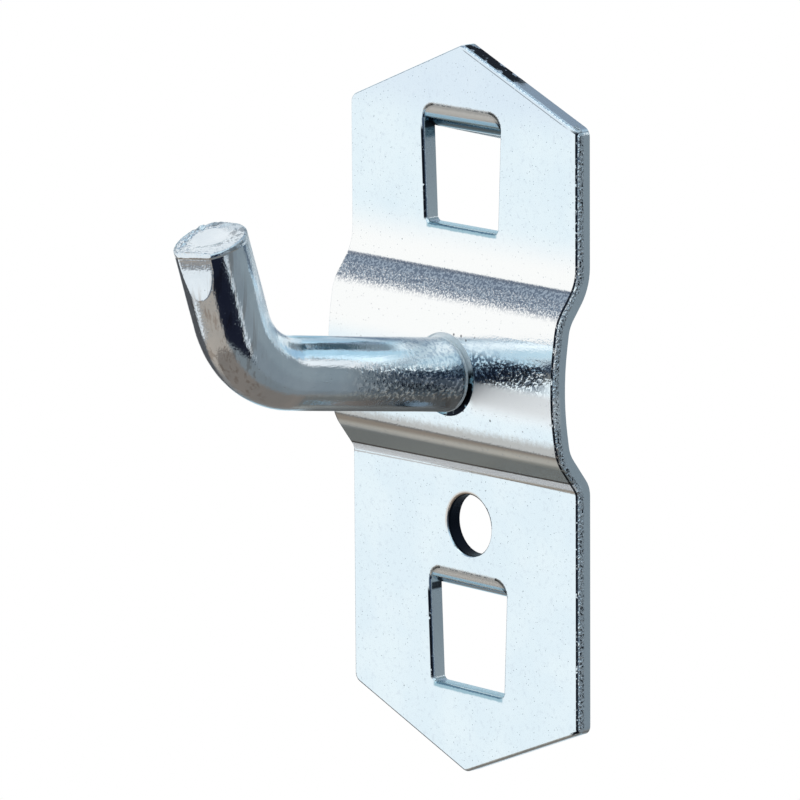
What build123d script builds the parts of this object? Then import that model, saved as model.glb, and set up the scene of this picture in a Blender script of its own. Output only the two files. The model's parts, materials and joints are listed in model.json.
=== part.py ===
from build123d import *
from math import acos, cos, degrees, radians, sin, tan
import os

# A hook for tool panels with square holes, in millimetres. A pressed back plate lies with its flat back on
# the panel, the plane y = 0, and hangs on two lugs bent out of it. A bent round bar is riveted into its rib.
# The front faces -Y, +Z is up, and the origin is on the panel at the middle of the plate's height and width.

# Sheet and outline of the back plate
sheet_thickness = 1.3
plate_width = 26.8
side_height = 48.8
roof_rise = 5.55
outline_corner_radius = 0.8
edge_roll = 0.3

# Rib pressed forward across the plate
rib_centre_z = 3.75
rib_depth = 2.75
rib_crown_height = 11.3
rib_crown_fall_angle = 9.0
rib_crown_radius = 24.0
rib_shoulder_radius = 3.8
rib_flank_angle = 37.0
rib_upper_root_radius = 3.5
rib_lower_root_radius = 0.9

# Windows, and the lugs lanced from them and bent back at their top edges
lug_pitch = 38.0
upper_window_top_z = 24.65
window_height = 9.6
window_top_width = 9.1
window_bottom_width = 8.3
window_top_corner_radius = 1.3
window_bottom_corner_radius = 0.45
upper_window_offset = -0.15
lower_window_offset = 0.4
lug_end_gap = 0.2
lug_droop_angle = 15.0
upper_lug_bend_radius = 0.7
lower_lug_bend_radius = 0.2

# Round holes, which sit a little to the right of the plate's middle line
pierce_offset = 0.6
screw_hole_diameter = 5.0
screw_hole_z = -9.27

# Bent bar: a run that rises forward from the rib, a bend and a leg that leans forward
bar_diameter = 6.0
bar_root_z = 3.55
bar_rise_angle = 8.2
bar_reach = 21.3
bar_bend_radius = 7.4
leg_length = 11.75
leg_lean_angle = 17.6
tip_round = 0.6
tip_slope_angle = 6.0
tip_slope_turn_angle = 45.0
facet_depth = 0.5
facet_length = 4.1
facet_turn_angle = 15.0

# Riveted root of the bar: a shoulder in a coined seat, a spigot through the sheet, a head in the rib's hollow
seat_gap = 0.4
seat_depth = 0.4
shoulder_chamfer = 0.45
spigot_diameter = 4.2
spigot_clearance = 0.05
head_bearing_width = 0.5
head_overhang = 0.5
head_curl = 0.3
head_height = 1.6

front_y = -sheet_thickness
crown_y = front_y - rib_depth
crown_back_y = crown_y + sheet_thickness
seat_y = crown_y + seat_depth
apex_z = side_height / 2 + roof_rise
through_depth = 4 * (sheet_thickness + rib_depth)


def sheet_line(depth):
    """Section line of the plate, depth behind its front, from the top apex down over the bowed rib.

    Each corner of the front's line moves back along the middle of the normals of its two sides.
    """
    flank = radians(rib_flank_angle)
    fall = radians(rib_crown_fall_angle)
    half_crown = rib_crown_height / 2
    peak = rib_depth + rib_crown_radius * (1 / cos(fall) - 1)
    shoulder = peak - half_crown * tan(fall)
    half_base = half_crown + shoulder / tan(flank)
    shoulder_shift = depth / cos((flank - fall) / 2)
    flat_y = front_y + depth
    base_z = half_base - depth * tan(flank / 2)
    shoulder_y = front_y - shoulder + shoulder_shift * cos((flank + fall) / 2)
    shoulder_z = half_crown - shoulder_shift * sin((flank + fall) / 2)
    peak_y = front_y - peak + depth / cos(fall)
    points = [
        (flat_y, apex_z),
        (flat_y, rib_centre_z + base_z),
        (shoulder_y, rib_centre_z + shoulder_z),
        (peak_y, rib_centre_z),
        (shoulder_y, rib_centre_z - shoulder_z),
        (flat_y, rib_centre_z - base_z),
        (flat_y, -apex_z),
    ]
    radii = [
        rib_upper_root_radius + depth,
        rib_shoulder_radius - depth,
        rib_crown_radius - depth,
        rib_shoulder_radius - depth,
        rib_lower_root_radius + depth,
    ]
    return FilletPolyline(*points, radius=radii)


def pressed_sheet():
    """The ribbed sheet over the plate's full width."""
    front = sheet_line(0)
    back = sheet_line(sheet_thickness)
    section = make_face([front, Line(front @ 0, back @ 0), back, Line(front @ 1, back @ 1)])
    return extrude(Plane.YZ * section, amount=plate_width / 2, both=True)


def outline_prism():
    """The plate's outline: straight sides with a low roof at the top and at the bottom."""
    half_width = plate_width / 2
    half_side = side_height / 2
    outline = make_face(Polyline(
        (0, apex_z), (half_width, half_side), (half_width, -half_side),
        (0, -apex_z), (-half_width, -half_side), (-half_width, half_side), close=True))
    outline = fillet(outline.vertices(), outline_corner_radius)
    return extrude(Plane.XZ * outline, amount=through_depth, both=True)


def window_prism(offset, top_z):
    """A lanced opening, a little narrower at its foot, with larger corners beside its lug."""
    bottom_z = top_z - window_height
    opening = make_face(Polyline(
        (window_top_width / 2, top_z), (-window_top_width / 2, top_z),
        (-window_bottom_width / 2, bottom_z), (window_bottom_width / 2, bottom_z), close=True))
    opening = fillet(opening.vertices().group_by(Axis.Y)[0], window_bottom_corner_radius)
    opening = fillet(opening.vertices().group_by(Axis.Y)[-1], window_top_corner_radius)
    return extrude(Plane.XZ * Pos(offset, 0) * opening, amount=through_depth, both=True)


def pierced_hole(diameter, z, mouth_y, end_y):
    """A round cutter back to end_y, with a mouth that rolls over at the plane mouth_y."""
    radius = diameter / 2
    section = make_face([
        Polyline((radius, mouth_y + edge_roll), (radius, end_y), (0, end_y),
                 (0, mouth_y - through_depth), (radius + edge_roll, mouth_y - through_depth),
                 (radius + edge_roll, mouth_y)),
        CenterArc((radius + edge_roll, mouth_y + edge_roll), edge_roll, 180, 90),
    ])
    return Pos(pierce_offset, 0, z) * revolve(section, Axis.Y)


def head_flat():
    """A cutter that flattens the back of the bowed crown where the bar's peened head bears."""
    ring = Circle(spigot_diameter / 2 + head_bearing_width + head_overhang + seat_gap)
    back = Plane((pierce_offset, crown_back_y, bar_root_z), z_dir=(0, 1, 0))
    return extrude(back * ring, amount=rib_depth)


def rolled_front(plate):
    """The plate with its front rims rolled over, as the press leaves them."""
    front_edges = plate.faces().filter_by(lambda face: face.normal_at().Y < -0.1).edges()
    wall_edges = plate.faces().filter_by(lambda face: abs(face.normal_at().Y) < 0.01).edges()
    return fillet([edge for edge in front_edges if edge in wall_edges], edge_roll)


def lug(offset, top_z, bend_radius):
    """A window's own metal, bent back at its top edge until it droops by lug_droop_angle."""
    bend_angle = 90 - lug_droop_angle
    outer_radius = bend_radius + sheet_thickness
    root_width = window_top_width - 2 * window_top_corner_radius
    blade_width = window_bottom_width
    end_width = blade_width - (window_top_width - window_bottom_width)
    normal = Vector(0, cos(radians(bend_angle)), sin(radians(bend_angle)))
    along = Vector(0, sin(radians(bend_angle)), -cos(radians(bend_angle)))
    outer = CenterArc((bend_radius, top_z), outer_radius, 180, bend_angle)
    inner = CenterArc((bend_radius, top_z), bend_radius, 180, bend_angle)
    section = make_face([outer, inner, Line(outer @ 0, inner @ 0), Line(outer @ 1, inner @ 1)])
    bend = extrude(Plane.YZ * section, amount=window_top_width, both=True)
    above = make_face(Polyline(
        outer @ 0, (front_y, top_z + 2 * edge_roll), (0, top_z + 2 * edge_roll), inner @ 0, close=True))
    root = extrude(Plane.YZ * above, amount=root_width / 2, both=True)
    length = window_height - lug_end_gap - (bend_radius + sheet_thickness / 2) * radians(bend_angle)
    blade = make_face(Polyline(
        (blade_width / 2, 0), (end_width / 2, length),
        (-end_width / 2, length), (-blade_width / 2, 0), close=True))
    blade = fillet(blade.vertices().group_by(Axis.Y)[-1], window_bottom_corner_radius)
    blade_root = Vector(0, bend_radius, top_z) - normal * outer_radius
    underside = Plane(blade_root, x_dir=along.cross(normal), z_dir=normal)
    lanced = (bend + extrude(underside * blade, amount=sheet_thickness)) & window_prism(0, top_z)
    return Pos(offset, 0, 0) * (root + lanced)


def back_plate():
    """The pressed plate with its windows, lugs, screw hole, and the bar's seat and spigot hole."""
    plate = pressed_sheet() & outline_prism()
    lugs = [
        (upper_window_offset, upper_window_top_z, upper_lug_bend_radius),
        (lower_window_offset, upper_window_top_z - lug_pitch, lower_lug_bend_radius),
    ]
    for offset, top_z, bend_radius in lugs:
        plate -= window_prism(offset, top_z)
    plate = rolled_front(plate)
    plate -= pierced_hole(screw_hole_diameter, screw_hole_z, front_y, through_depth)
    plate -= pierced_hole(bar_diameter + 2 * seat_gap, bar_root_z, crown_y, seat_y)
    plate -= pierced_hole(spigot_diameter + 2 * spigot_clearance, bar_root_z, crown_y, through_depth)
    plate -= head_flat()
    for offset, top_z, bend_radius in lugs:
        plate += lug(offset, top_z, bend_radius)
    return plate


def leg_direction():
    """The way that the leg points, up and a little forward."""
    lean = radians(leg_lean_angle)
    return Vector(0, -sin(lean), cos(lean))


def leg_facing(turn_angle):
    """The way square to the leg that looks forward, turned to the right by turn_angle."""
    turn = radians(turn_angle)
    right = Vector(1, 0, 0)
    return right * sin(turn) + right.cross(leg_direction()) * cos(turn)


def bar_line(tail, extra):
    """Axis of the bar, run on by tail behind the rib's crown and by extra past the tip."""
    rise = radians(bar_rise_angle)
    forward = Vector(0, -cos(rise), sin(rise))
    root = Vector(pierce_offset, crown_y, bar_root_z)
    corner = root + forward * bar_reach
    tip = corner + leg_direction() * (leg_length + extra)
    return FilletPolyline(root - forward * tail, corner, tip, radius=bar_bend_radius)


def space_beyond(point, normal):
    """A cutter that takes all of the bar on the side of a plane that normal points to."""
    return extrude(Plane(point, z_dir=normal) * Circle(4 * bar_diameter), amount=4 * bar_diameter)


def cropped_bar():
    """The bent bar, cut off on a slope at its tip, with a rounded rim and a shallow flat on its front."""
    tip = bar_line(0, 0) @ 1
    line = bar_line(bar_diameter, bar_diameter)
    bar = sweep(Plane(line @ 0, z_dir=line % 0) * Circle(bar_diameter / 2), path=line)
    slope = radians(tip_slope_angle)
    bar -= space_beyond(tip, leg_direction() * cos(slope) + leg_facing(tip_slope_turn_angle) * sin(slope))
    bar = fillet(bar.faces().sort_by(Axis.Z)[-1].edges(), tip_round)
    facing = leg_facing(facet_turn_angle)
    flat_end = tip + facing * (bar_diameter / 2 - facet_depth)
    return bar - space_beyond(flat_end, facing * facet_length + leg_direction() * facet_depth)


def peened_head():
    """The bar's tail, spread over the back of the sheet: flat where it bears, curling away to a low dome."""
    bearing_radius = spigot_diameter / 2 + head_bearing_width
    rim_radius = bearing_radius + head_overhang
    rim_y = crown_back_y + head_curl
    top_y = crown_back_y + head_height
    dome_height = top_y - rim_y
    dome_radius = (rim_radius ** 2 + dome_height ** 2) / (2 * dome_height)
    rim_angle = degrees(acos(rim_radius / dome_radius))
    section = make_face([
        Polyline((0, top_y), (0, crown_back_y), (bearing_radius, crown_back_y), (rim_radius, rim_y)),
        CenterArc((0, top_y - dome_radius), dome_radius, rim_angle, 90 - rim_angle),
    ])
    return Pos(pierce_offset, 0, bar_root_z) * revolve(section, Axis.Y)


def hook_rod():
    """The bent bar with its chamfered shoulder, spigot and peened head."""
    shoulder = Vector(pierce_offset, seat_y, bar_root_z)
    bar = cropped_bar() - space_beyond(shoulder, Vector(0, 1, 0))
    bar = chamfer(bar.faces().sort_by(Axis.Y)[-1].edges(), shoulder_chamfer)
    spigot = Plane(shoulder, z_dir=(0, 1, 0)) * Circle(spigot_diameter / 2)
    return bar + extrude(spigot, amount=crown_back_y - seat_y) + peened_head()


os.makedirs("parts", exist_ok=True)
export_step(back_plate(), "parts/back_plate.step")
export_step(hook_rod(), "parts/hook_rod.step")
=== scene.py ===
"""A zinc plated tool hook: its bent bar, the finish of its back plate, and a studio round it.

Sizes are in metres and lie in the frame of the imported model: +Z is up, the front faces -Y, and the plane
y = 0 is the panel that the back plate lies on.
"""
import json
import math

import bpy
import numpy as np
from mathutils import Matrix, Vector


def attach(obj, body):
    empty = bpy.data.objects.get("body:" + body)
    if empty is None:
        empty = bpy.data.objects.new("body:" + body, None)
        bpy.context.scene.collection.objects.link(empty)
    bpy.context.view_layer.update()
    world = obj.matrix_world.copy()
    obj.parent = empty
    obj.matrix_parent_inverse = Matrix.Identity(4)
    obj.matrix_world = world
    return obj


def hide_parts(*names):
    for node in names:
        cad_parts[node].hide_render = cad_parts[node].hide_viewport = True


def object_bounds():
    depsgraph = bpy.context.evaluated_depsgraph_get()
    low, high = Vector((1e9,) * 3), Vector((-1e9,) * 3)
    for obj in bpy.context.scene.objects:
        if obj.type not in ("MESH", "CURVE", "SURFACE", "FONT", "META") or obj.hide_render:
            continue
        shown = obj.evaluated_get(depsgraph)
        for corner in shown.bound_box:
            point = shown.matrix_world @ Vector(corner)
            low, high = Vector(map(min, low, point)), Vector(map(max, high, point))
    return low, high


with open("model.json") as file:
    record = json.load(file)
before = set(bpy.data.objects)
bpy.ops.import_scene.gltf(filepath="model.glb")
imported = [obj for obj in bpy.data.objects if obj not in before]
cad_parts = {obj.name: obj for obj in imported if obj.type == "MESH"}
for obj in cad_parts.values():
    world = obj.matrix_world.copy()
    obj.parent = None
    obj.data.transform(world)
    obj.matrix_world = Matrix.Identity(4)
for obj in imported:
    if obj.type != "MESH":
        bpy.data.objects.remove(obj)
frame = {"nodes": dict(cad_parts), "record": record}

bl_info = {
    "name": "Zinc Tool Hook",
    "version": (1, 0, 0),
    "blender": (4, 5, 0),
    "location": "View3D > Sidebar > Tool Hook",
    "description": "Builds the bent bar of a tool hook, plates the bar and the back plate, and sets a studio",
    "category": "Object",
}

CAD_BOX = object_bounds()
MM = 0.001
SENSOR_WIDTH = 36.0
MOUNTS = {mount["name"]: mount for mount in frame["record"]["mounts"]}
BAR_MOUNT = MOUNTS["hook_leg"]
HOLE_MOUNT = MOUNTS["screw_hole"]

# Slopes that the finish follows: the tilt of the marks below the rib, and the droop of the lugs
RIB_TILT = math.tan(math.radians(1.0))
LUG_DROOP = math.tan(math.radians(15.0))

# Gap in millimetres to a wall where there is none, and strength of the shade in the upper and lower window
NO_WALL = 9.0
WINDOW_SHADES = (0.9, 0.15)

# Points round the bar, rows over its head's dome and each of the head's other steps, and rows along its
# body, over its rim and across its tip
BAR_COLUMNS = 144
DOME_ROWS = 12
STEP_ROWS = 4
BODY_ROWS = 300
RIM_ROWS = 12
TIP_ROWS = 32

# Points round the floor, and rings from its middle to its edge
FLOOR_COLUMNS = 96
FLOOR_ROWS = 24

# Colours of the marks on the back plate, many of them painted reflections, highlights and shade
MOTTLE_BLUE = (0.62, 0.71, 0.79)
APEX_BLUE = (0.66, 0.77, 0.89)
CROWN_HIGHLIGHT_WHITE = (0.955, 0.97, 0.965)
STRIPE_EDGE_REFLECTION = (0.20, 0.23, 0.30)
STRIPE_PAINTED_SPECK = (0.27, 0.31, 0.38)
FLANK_REFLECTED_TAN = (0.40, 0.39, 0.37)
ROOT_HIGHLIGHT_WHITE = (0.97, 0.98, 1.0)
FLANK_REFLECTED_GREEN = (0.37, 0.45, 0.47)
ROOT_CREASE_SHADE = (0.10, 0.09, 0.085)
ROOT_LINE_BROWN = (0.34, 0.29, 0.26)
PIT_BLACK = (0.05, 0.06, 0.08)
CUT_PAINTED_PALE = (0.80, 0.88, 0.93)
FOOT_REFLECTED_TEAL = (0.33, 0.51, 0.60)
LUG_PALE = (0.80, 0.92, 1.0)
STRIP_REFLECTED_TAN = (0.66, 0.62, 0.57)
STRIP_SHADE_BORDER = (0.30, 0.29, 0.27)
STRIP_REFLECTED_TEAL = (0.50, 0.80, 1.0)
STRIP_SHADE = (0.11, 0.23, 0.30)
HOLE_RIM_REFLECTED_TAN = (0.62, 0.56, 0.50)
FROST_PAINTED_WHITE = (0.93, 0.97, 0.99)
SEAT_PAINTED_GLINT = (0.40, 0.70, 0.85)
BAR_REFLECTION_BLUE = (0.05, 0.08, 0.13)
SHADE_BLACK = (0.01, 0.014, 0.024)

# Colours of the bar's zinc and of the marks on it, many of them painted reflections, highlights and shade
BAR_GREY = (0.70, 0.78, 0.84)
BAR_BRIGHT = (0.79, 0.86, 0.91)
TOP_REFLECTED_BLUE = (0.26, 0.42, 0.56)
ROOT_SHADE = (0.20, 0.23, 0.27)
CURL_HIGHLIGHT_WHITE = (0.93, 0.95, 0.96)
FROST_PAINTED_SPECK = (0.30, 0.40, 0.52)
LEG_REFLECTED_BROWN = (0.40, 0.37, 0.34)
STREAK_HIGHLIGHT_PALE = (0.86, 0.90, 0.93)
UNDERSIDE_SHADE = (0.22, 0.22, 0.22)
COLLAR_HIGHLIGHT_PALE = (0.93, 0.98, 1.0)
TIP_FLECK = (0.30, 0.34, 0.38)


def size_prop(name, description, metres):
    """A length that a user may change."""
    return bpy.props.FloatProperty(name=name, description=description, default=metres, unit="LENGTH")


def angle_prop(name, description, degrees):
    """An angle that a user may change."""
    return bpy.props.FloatProperty(
        name=name, description=description, default=math.radians(degrees), subtype="ANGLE")


def color_prop(name, description, color):
    """A colour that a user may change."""
    return bpy.props.FloatVectorProperty(
        name=name, description=description, default=color, min=0.0, max=1.0, subtype="COLOR")


class BarSizes(bpy.types.PropertyGroup):
    """Sizes of the bent bar and of its riveted root."""

    diameter: size_prop("Diameter", "Thickness of the round bar", 2 * MM * BAR_MOUNT["dims"]["r_mm"])
    offset: size_prop(
        "Offset", "How far the bar stands right of the plate's middle line", BAR_MOUNT["pos_m"][0])
    crown_y: size_prop("Crown", "Depth at which the front of the rib's crown lies", -4.05 * MM)
    root_z: size_prop("Root height", "Height at which the bar's axis meets the rib's crown", 3.55 * MM)
    rise: angle_prop("Rise", "Angle by which the run climbs on its way forward", 8.2)
    reach: size_prop("Reach", "Length of the run from the rib to the sharp corner of the axis", 21.3 * MM)
    bend_radius: size_prop("Bend radius", "Radius of the axis in the bend", 7.4 * MM)
    leg_length: size_prop(
        "Leg length", "Length of the leg from the sharp corner of the axis to the tip", 11.75 * MM)
    lean: angle_prop("Lean", "Angle by which the leg leans forward", 17.6)
    tip_round: size_prop("Tip round", "Radius of the rim at the cropped tip", 0.6 * MM)
    tip_slope: angle_prop("Tip slope", "Angle of the cropped tip to a square cut", 6.0)
    tip_turn: angle_prop("Tip turn", "Way that the cropped tip slopes, to the right of the front", 45.0)
    tear_depth: size_prop("Tear depth", "Depth of the torn relief on the cropped tip", 0.3 * MM)
    facet_depth: size_prop("Facet depth", "Depth of the flat at the tip's front", 0.5 * MM)
    facet_length: size_prop("Facet length", "Length of the flat at the tip's front", 4.1 * MM)
    facet_lip: size_prop("Facet lip", "Height of the rounded lip between the tip and its flat", 0.5 * MM)
    facet_turn: angle_prop("Facet turn", "Way that the flat faces, to the right of the front", 15.0)
    seat_depth: size_prop(
        "Seat depth", "Depth of the coined seat in the rib that the shoulder stands in", 0.4 * MM)
    shoulder_chamfer: size_prop("Shoulder chamfer", "Chamfer round the bar's shoulder", 0.45 * MM)
    spigot_diameter: size_prop(
        "Spigot diameter", "Thickness of the spigot that goes through the rib", 4.2 * MM)
    head_width: size_prop("Head width", "Width by which the peened head spreads past the spigot", 1.0 * MM)
    head_bearing: size_prop("Head bearing", "Width of the ring on which the peened head bears", 0.5 * MM)
    head_curl: size_prop("Head curl", "Height by which the head's rim curls off the sheet", 0.3 * MM)
    head_height: size_prop("Head height", "Height of the peened head over the sheet", 1.6 * MM)


class PlateSizes(bpy.types.PropertyGroup):
    """Sizes and places of the back plate that its finish follows."""

    width: size_prop("Width", "Width of the plate", CAD_BOX[1].x - CAD_BOX[0].x)
    side_height: size_prop("Side height", "Height of the straight sides", 48.8 * MM)
    roof_rise: size_prop("Roof rise", "Height of each low roof over the straight sides", 5.55 * MM)
    sheet: size_prop("Sheet", "Thickness of the plate's sheet", 1.3 * MM)
    rib_z: size_prop("Rib height", "Height of the rib's middle", 3.75 * MM)
    rib_depth: size_prop("Rib depth", "Depth by which the rib is pressed forward", 2.75 * MM)
    crown_height: size_prop(
        "Crown height", "Height of the rib's bowed crown between its shoulders", 11.3 * MM)
    crown_fall: angle_prop("Crown fall", "Angle at which the crown falls off towards its shoulders", 9.0)
    crown_radius: size_prop("Crown radius", "Radius of the crown's bow", 24.0 * MM)
    flank_angle: angle_prop("Flank angle", "Slope of the rib's flanks", 37.0)
    window_top_z: size_prop("Window top", "Height of the upper window's top edge", 24.65 * MM)
    window_pitch: size_prop(
        "Window pitch", "Distance from the upper window down to the lower one", 38.0 * MM)
    window_height: size_prop("Window height", "Height of each window", 9.6 * MM)
    window_top_width: size_prop("Window top width", "Width of each window at its top", 9.1 * MM)
    window_bottom_width: size_prop("Window bottom width", "Width of each window at its foot", 8.3 * MM)
    window_corner: size_prop("Window corner", "Radius of each window's upper corners", 1.3 * MM)
    upper_offset: size_prop(
        "Upper offset", "How far the upper window stands right of the middle line", -0.15 * MM)
    lower_offset: size_prop(
        "Lower offset", "How far the lower window stands right of the middle line", 0.4 * MM)
    upper_bend: size_prop("Upper bend", "Inner radius of the upper lug's bend", 0.7 * MM)
    lower_bend: size_prop("Lower bend", "Inner radius of the lower lug's bend", 0.2 * MM)
    hole: bpy.props.FloatVectorProperty(
        name="Hole", description="Middle of the screw hole",
        default=HOLE_MOUNT["pos_m"], subtype="TRANSLATION")


class ZincFinish(bpy.types.PropertyGroup):
    """Colours and grain of the bright zinc plate."""

    zinc: color_prop("Zinc", "Colour of the bright zinc", (0.79, 0.905, 0.96))
    pale: color_prop("Pale zinc", "Colour of the bluer clouds in the zinc", (0.75, 0.875, 0.945))
    dull: color_prop("Dull zinc", "Colour of pits, scratches and rubbed places", (0.36, 0.42, 0.48))
    cut: color_prop("Cut metal", "Colour of the sheared edges under the zinc", (0.66, 0.74, 0.80))
    roughness: bpy.props.FloatProperty(
        name="Roughness", description="Roughness of the bright zinc",
        default=0.07, min=0.0, max=1.0, subtype="FACTOR")
    grain: size_prop("Grain", "Size of the grain in the zinc", 0.16 * MM)
    relief: size_prop("Relief", "Height of the grain in the zinc", 0.06 * MM)


class StageSetup(bpy.types.PropertyGroup):
    """The camera's view, the floor and the studio round the hook."""

    azimuth: angle_prop("Azimuth", "Way that the camera stands, to the right of the front", 47.687)
    elevation: angle_prop("Elevation", "Angle of the camera above the horizon", 11.29)
    roll: angle_prop("Roll", "Turn of the camera about its own view", -0.35)
    distance: size_prop("Distance", "Distance of the camera from its aim", 582.692 * MM)
    aim: bpy.props.FloatVectorProperty(
        name="Aim", description="Point that the camera looks at",
        default=(-3.582 * MM, -4.941 * MM, 0.991 * MM), subtype="TRANSLATION")
    lens: bpy.props.FloatProperty(
        name="Lens", description="Focal length in millimetres on a sensor 36 mm wide",
        default=325.023)
    floor_drop: size_prop("Floor drop", "Height of the hook above the floor", 60 * MM)
    floor_radius: size_prop("Floor radius", "Radius of the round floor", 160 * MM)
    floor_color: color_prop("Floor", "Colour of the pale floor", (0.62, 0.57, 0.51))
    room: color_prop("Room", "Colour of the room between the lights", (0.15, 0.18, 0.22))


class Field:
    """A socket's value, so that shader maths on it is written as Python expressions."""

    def __init__(self, book, socket):
        self.book = book
        self.socket = socket

    def maths(self, operation, *terms):
        """A Math node of that operation on the terms."""
        return self.book.add("ShaderNodeMath", {"operation": operation}, dict(enumerate(terms)))

    def __add__(self, other):
        return self.maths("ADD", self, other)

    def __radd__(self, other):
        return self.maths("ADD", other, self)

    def __sub__(self, other):
        return self.maths("SUBTRACT", self, other)

    def __rsub__(self, other):
        return self.maths("SUBTRACT", other, self)

    def __mul__(self, other):
        return self.maths("MULTIPLY", self, other)

    def __rmul__(self, other):
        return self.maths("MULTIPLY", other, self)

    def __truediv__(self, other):
        return self.maths("DIVIDE", self, other)

    def __rtruediv__(self, other):
        return self.maths("DIVIDE", other, self)

    def __pow__(self, other):
        return self.maths("POWER", self, other)

    def __abs__(self):
        return self.maths("ABSOLUTE", self)

    def least(self, other):
        """The lesser of the two values."""
        return self.maths("MINIMUM", self, other)

    def most(self, other):
        """The greater of the two values."""
        return self.maths("MAXIMUM", self, other)

    def soft_least(self, other, reach):
        """The lesser of the two values, rounded off where they are within reach of each other."""
        return self.maths("SMOOTH_MIN", self, other, reach)

    def soft_most(self, other, reach):
        """The greater of the two values, rounded off where they are within reach of each other."""
        return self.maths("SMOOTH_MAX", self, other, reach)

    def rise(self, low, high):
        """A smooth step from 0 where the value is low to 1 where it is high."""
        return self.book.add("ShaderNodeMapRange", {"interpolation_type": "SMOOTHSTEP"},
                             {"Value": self, "From Min": low, "From Max": high})

    def fall(self, low, high):
        """A smooth step from 1 where the value is low to 0 where it is high."""
        return 1 - self.rise(low, high)


class NodeBook:
    """The nodes of one material or world."""

    def __init__(self, tree):
        self.tree = tree
        tree.nodes.clear()

    def add(self, kind, settings=None, sockets=None, output=0):
        """One node: its settings are set first, then its sockets get a value or a link."""
        node = self.tree.nodes.new(kind)
        for name, value in (settings or {}).items():
            setattr(node, name, value)
        for name, value in (sockets or {}).items():
            if isinstance(value, Field):
                self.tree.links.new(value.socket, node.inputs[name])
            else:
                node.inputs[name].default_value = value
        if not node.outputs:
            return None
        return Field(self, node.outputs[output])

    def blend(self, share, first, second):
        """The colour first where share is 0 and second where it is 1."""
        ends = [end if isinstance(end, Field) else opaque(end) for end in (first, second)]
        sockets = {"Factor": share, 6: ends[0], 7: ends[1]}
        return self.add("ShaderNodeMix", {"data_type": "RGBA"}, sockets, output=2)

    def paint(self, color, layers):
        """The colour under layers of a share and a colour, each over those before it."""
        for share, layer in layers:
            color = self.blend(share, color, layer)
        return color

    def parts(self, vector):
        """The three values of a vector."""
        return [self.add("ShaderNodeSeparateXYZ", None, {0: vector}, output=axis) for axis in "XYZ"]

    def place(self):
        """The surface's own place in millimetres, from Object coordinates."""
        spot = self.add("ShaderNodeTexCoord", output="Object")
        return self.add("ShaderNodeVectorMath", {"operation": "SCALE"}, {0: spot, "Scale": 1 / MM})

    def noise(self, spot, scale, detail, roughness):
        """Noise with scale features to a millimetre, from 0 to 1."""
        sockets = {"Vector": spot, "Scale": scale, "Detail": detail, "Roughness": roughness}
        return self.add("ShaderNodeTexNoise", None, sockets)

    def drawn(self, spot, scales):
        """Noise drawn out along an axis, with scales features to a millimetre along x, y and z."""
        stretched = self.add("ShaderNodeVectorMath", {"operation": "MULTIPLY"}, {0: spot, 1: scales})
        return self.noise(stretched, 1.0, 3.0, 0.6)


def opaque(color):
    """A colour with full alpha, for a shader's socket."""
    return (color[0], color[1], color[2], 1.0)


def new_material(name):
    """A material, its still empty book of nodes, and the surface's place in millimetres."""
    material = bpy.data.materials.new(name)
    material.use_nodes = True
    book = NodeBook(material.node_tree)
    return material, book, book.place()


def flecks(book, spot, scale, share, size):
    """Round spots of that size on a share of the cells of a Voronoi pattern, 1 inside a spot."""
    sockets = {"Vector": spot, "Scale": scale, "Randomness": 1.0}
    node = {"feature": "F1"}
    reach = book.add("ShaderNodeTexVoronoi", node, sockets, output="Distance")
    lot = book.add("ShaderNodeTexVoronoi", node, sockets, output="Color")
    chosen = book.parts(lot)[0].rise(1 - share, 1 - share + 0.02)
    return reach.fall(0.4 * size * scale, size * scale) * chosen


def finish_metal(book, color, roughness, metallic, height, relief):
    """Ends a material: zinc of that colour and roughness, bare where metallic is 1, with a relief."""
    bump = book.add("ShaderNodeBump", None, {"Strength": 1.0, "Distance": relief, "Height": height})
    shader = book.add("ShaderNodeBsdfPrincipled", None, {
        "Base Color": color, "Metallic": metallic, "Roughness": roughness, "Normal": bump})
    book.add("ShaderNodeOutputMaterial", None, {"Surface": shader})


def window_fields(plate, x, z):
    """For each window, in millimetres: gap, depth, across, beside and bend.

    gap is how far a point lies outside the window's outline, depth how far below its top, across how far to
    the right of its middle and beside how far past its sides. bend is the outer radius of its lug's bend.
    """
    lean = (plate.window_top_width - plate.window_bottom_width) / 2 / plate.window_height
    lower_top_z = plate.window_top_z - plate.window_pitch
    round_off = plate.window_corner / MM
    windows = [(plate.upper_offset, plate.window_top_z, plate.upper_bend),
               (plate.lower_offset, lower_top_z, plate.lower_bend)]
    fields = []
    for middle, top, bend in windows:
        depth = top / MM - z
        across = x - middle / MM
        beside = abs(across) - (plate.window_top_width / 2 / MM - depth * lean)
        corner = ((beside + round_off).most(0.0) ** 2 + (round_off - depth).most(0.0) ** 2) ** 0.5
        gap = (corner - round_off).most(depth - plate.window_height / MM)
        fields.append((gap, depth, across, beside, (bend + plate.sheet) / MM))
    return fields


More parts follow.
